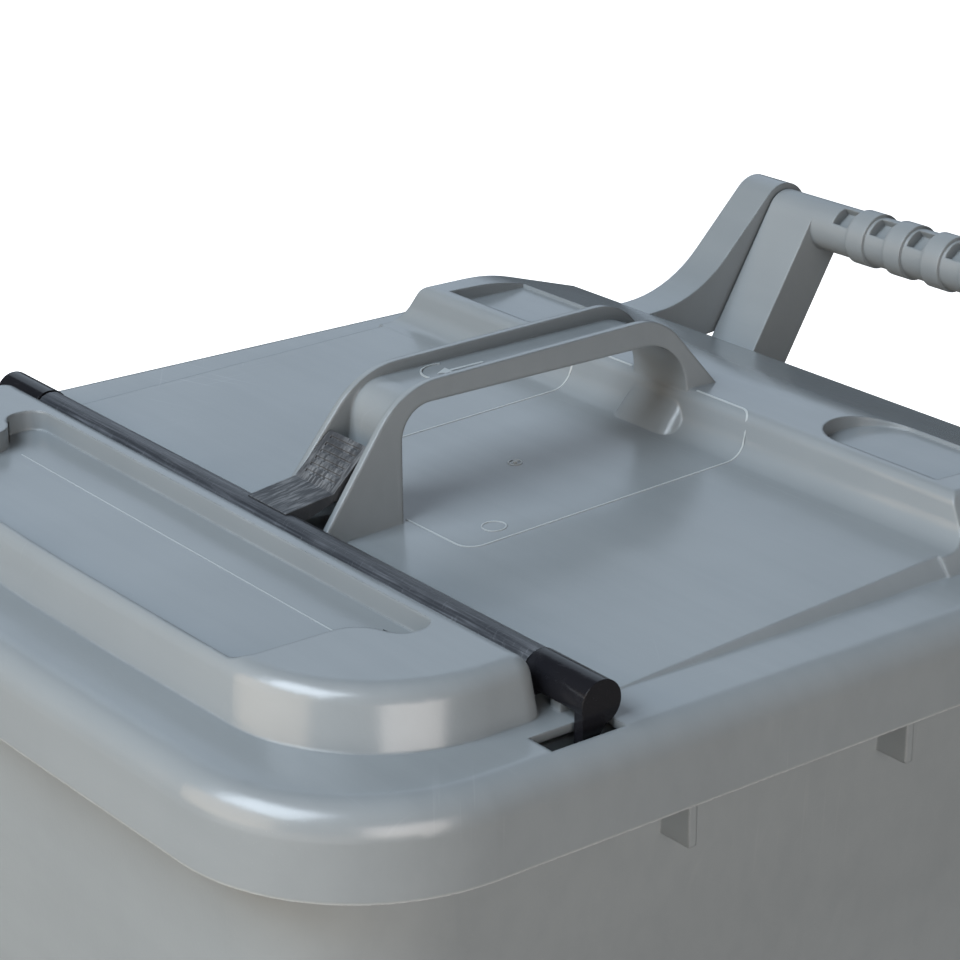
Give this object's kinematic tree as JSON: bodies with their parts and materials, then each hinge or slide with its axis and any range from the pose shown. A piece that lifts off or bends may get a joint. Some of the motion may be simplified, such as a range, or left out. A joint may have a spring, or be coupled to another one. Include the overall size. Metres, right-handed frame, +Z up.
{
  "type": "wheelie bin",
  "caption": "Two-wheeled refuse bin of tapered grey plastic with a hinged lid, a carrying handle, a rear push bar and a transverse press-to-open lid lock.",
  "frame": {"origin": "on the floor, in the middle of the closed bin's box", "axes": "+Z up, +Y to the back where the push bar and wheels are, +X to the right as seen from the front"},
  "size_m": [0.48, 0.5899, 0.9447],
  "materials": {
    "body_plastic": "satin moulded polyethylene with a fine grain, mid grey",
    "lid_plastic": "satin moulded polyethylene, mid grey, a little glossier on its flat tops",
    "bar_black": "near-black, rubbed and scratched along its length",
    "lever_black": "near-black, scratched, with a worn frame round the pad",
    "hook_black": "glossy black moulding",
    "steel": "plain zinc-plated steel",
    "nut_steel": "pressed spring steel",
    "pin_grey": "grey acetal",
    "tyre": "solid black rubber",
    "hub_plastic": "black moulded plastic"
  },
  "bodies": {
    "bin": {"bin_body": "body_plastic", "axle": "steel", "axle_spacer_left": "hub_plastic", "axle_spacer_right": "hub_plastic", "axle_cap_nut_left": "nut_steel", "axle_cap_nut_right": "nut_steel", "hinge_pin_left": "pin_grey", "hinge_pin_right": "pin_grey"},
    "lid": {"lid": "lid_plastic", "lock_spring_left": "steel", "lock_spring_right": "steel"},
    "lock": {"lock_bar": "bar_black", "press_lever": "lever_black", "lock_hook_left": "hook_black", "lock_hook_right": "hook_black", "lock_pin_left": "steel", "lock_pin_right": "steel"},
    "wheel_left": {"tyre_left": "tyre", "wheel_hub_left": "hub_plastic", "hub_cap_left": "hub_plastic"},
    "wheel_right": {"tyre_right": "tyre", "wheel_hub_right": "hub_plastic", "hub_cap_right": "hub_plastic"}
  },
  "joints": [
    {"name": "lid_hinge", "type": "hinge", "parent": "bin", "child": "lid", "pos_m": [0, 0.279, 0.924], "axis": [-1, 0, 0], "range_deg": [0, 270]},
    {"name": "lock_turn", "type": "hinge", "parent": "lid", "child": "lock", "pos_m": [0, -0.1474, 0.8884], "axis": [-1, 0, 0], "range_deg": [0, 14], "stiffness_Nm_per_rad": 1, "springref_deg": -11.46},
    {"name": "wheel_left_spin", "type": "hinge", "parent": "bin", "child": "wheel_left", "pos_m": [-0.201, 0.171, 0.1], "axis": [1, 0, 0], "continuous": true},
    {"name": "wheel_right_spin", "type": "hinge", "parent": "bin", "child": "wheel_right", "pos_m": [0.201, 0.171, 0.1], "axis": [1, 0, 0], "continuous": true}
  ]
}
